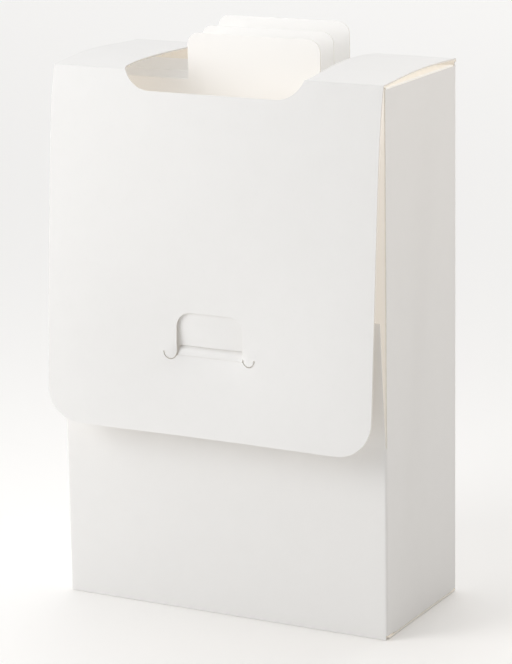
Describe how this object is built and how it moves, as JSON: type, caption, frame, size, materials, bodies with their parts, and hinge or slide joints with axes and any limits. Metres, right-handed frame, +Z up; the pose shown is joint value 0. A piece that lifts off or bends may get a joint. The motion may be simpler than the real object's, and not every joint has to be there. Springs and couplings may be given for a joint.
{
  "type": "tabbed card carton",
  "caption": "Tall folding paperboard carton with a cut-out lid, a long front flap locked by a tongue in a slit, and tabbed cards standing inside.",
  "frame": {"origin": "middle of the base, on the face that the carton stands on", "axes": "+Z up, -Y towards the front flap, +X to the right of a person who faces the front"},
  "size_m": [0.145, 0.0797, 0.2346],
  "materials": {
    "board_outside": "smooth white coated board, slightly satin",
    "board_inside": "uncoated cream board",
    "card": "smooth white card"
  },
  "bodies": {
    "sleeve": {"back_panel": "board_outside", "left_side_panel": "board_outside", "right_side_panel": "board_outside", "front_panel": "board_outside", "glue_flap": "board_inside"},
    "gate": {"front_gate": "board_outside"},
    "lid": {"lid_left_strip": "board_outside", "lid_right_strip": "board_outside"},
    "flap": {"lid_front_flap": "board_outside"},
    "tongue": {"lock_tongue": "board_outside"},
    "top_left_dust": {"top_left_dust_flap": "board_inside"},
    "top_right_dust": {"top_right_dust_flap": "board_inside"},
    "bottom": {"bottom_panel": "board_outside"},
    "bottom_tuck": {"bottom_tuck_flap": "board_outside"},
    "bottom_left_dust": {"bottom_left_dust_flap": "board_inside"},
    "bottom_right_dust": {"bottom_right_dust_flap": "board_inside"},
    "first_card": {"card_1": "card"},
    "second_card": {"card_2": "card"},
    "third_card": {"card_3": "card"}
  },
  "joints": [
    {"name": "lid_hinge", "type": "hinge", "parent": "sleeve", "child": "lid", "pos_m": [0, 0.0323, 0.2203], "axis": [-1, 0, 0], "range_deg": [0, 180]},
    {"name": "flap_hinge", "type": "hinge", "parent": "lid", "child": "flap", "pos_m": [0, -0.0323, 0.2193], "axis": [-1, 0, 0], "range_deg": [0, 170]},
    {"name": "tongue_hinge", "type": "hinge", "parent": "flap", "child": "tongue", "pos_m": [0, -0.0418, 0.1072], "axis": [1, 0, 0], "range_deg": [0, 75], "deforming": ["lock_tongue"]},
    {"name": "gate_hinge", "type": "hinge", "parent": "sleeve", "child": "gate", "pos_m": [0, -0.0327, 0.0786], "axis": [-1, 0, 0], "range_deg": [0, 5]},
    {"name": "top_left_dust_hinge", "type": "hinge", "parent": "sleeve", "child": "top_left_dust", "pos_m": [-0.0718, 0, 0.2182], "axis": [0, -1, 0], "range_deg": [0, 90]},
    {"name": "top_right_dust_hinge", "type": "hinge", "parent": "sleeve", "child": "top_right_dust", "pos_m": [0.0718, 0, 0.2182], "axis": [0, 1, 0], "range_deg": [0, 90]},
    {"name": "bottom_hinge", "type": "hinge", "parent": "sleeve", "child": "bottom", "pos_m": [0, 0.0323, 0.0007], "axis": [1, 0, 0], "range_deg": [0, 100]},
    {"name": "bottom_tuck_hinge", "type": "hinge", "parent": "bottom", "child": "bottom_tuck", "pos_m": [0, -0.0314, 0.0007], "axis": [-1, 0, 0], "range_deg": [0, 85]},
    {"name": "bottom_left_dust_hinge", "type": "hinge", "parent": "sleeve", "child": "bottom_left_dust", "pos_m": [-0.0718, 0, 0.0016], "axis": [0, 1, 0], "range_deg": [0, 40]},
    {"name": "bottom_right_dust_hinge", "type": "hinge", "parent": "sleeve", "child": "bottom_right_dust", "pos_m": [0.0718, 0, 0.0016], "axis": [0, -1, 0], "range_deg": [0, 40]},
    {"name": "card_1_slide", "type": "slide", "parent": "sleeve", "child": "first_card", "axis": [0, 0, 1], "range_m": [0, 0.006]},
    {"name": "card_2_slide", "type": "slide", "parent": "sleeve", "child": "second_card", "axis": [0, 0, 1], "range_m": [0, 0.0048]},
    {"name": "card_3_slide", "type": "slide", "parent": "sleeve", "child": "third_card", "axis": [0, 0, 1], "range_m": [0, 0.0024]}
  ],
  "couplings": [
    {"joint": "top_left_dust_hinge", "follows": "lid_hinge", "ratio": 0.5},
    {"joint": "top_right_dust_hinge", "follows": "lid_hinge", "ratio": 0.5},
    {"joint": "bottom_tuck_hinge", "follows": "bottom_hinge", "ratio": 0.85},
    {"joint": "bottom_left_dust_hinge", "follows": "bottom_hinge", "ratio": 0.4},
    {"joint": "bottom_right_dust_hinge", "follows": "bottom_hinge", "ratio": 0.4}
  ]
}
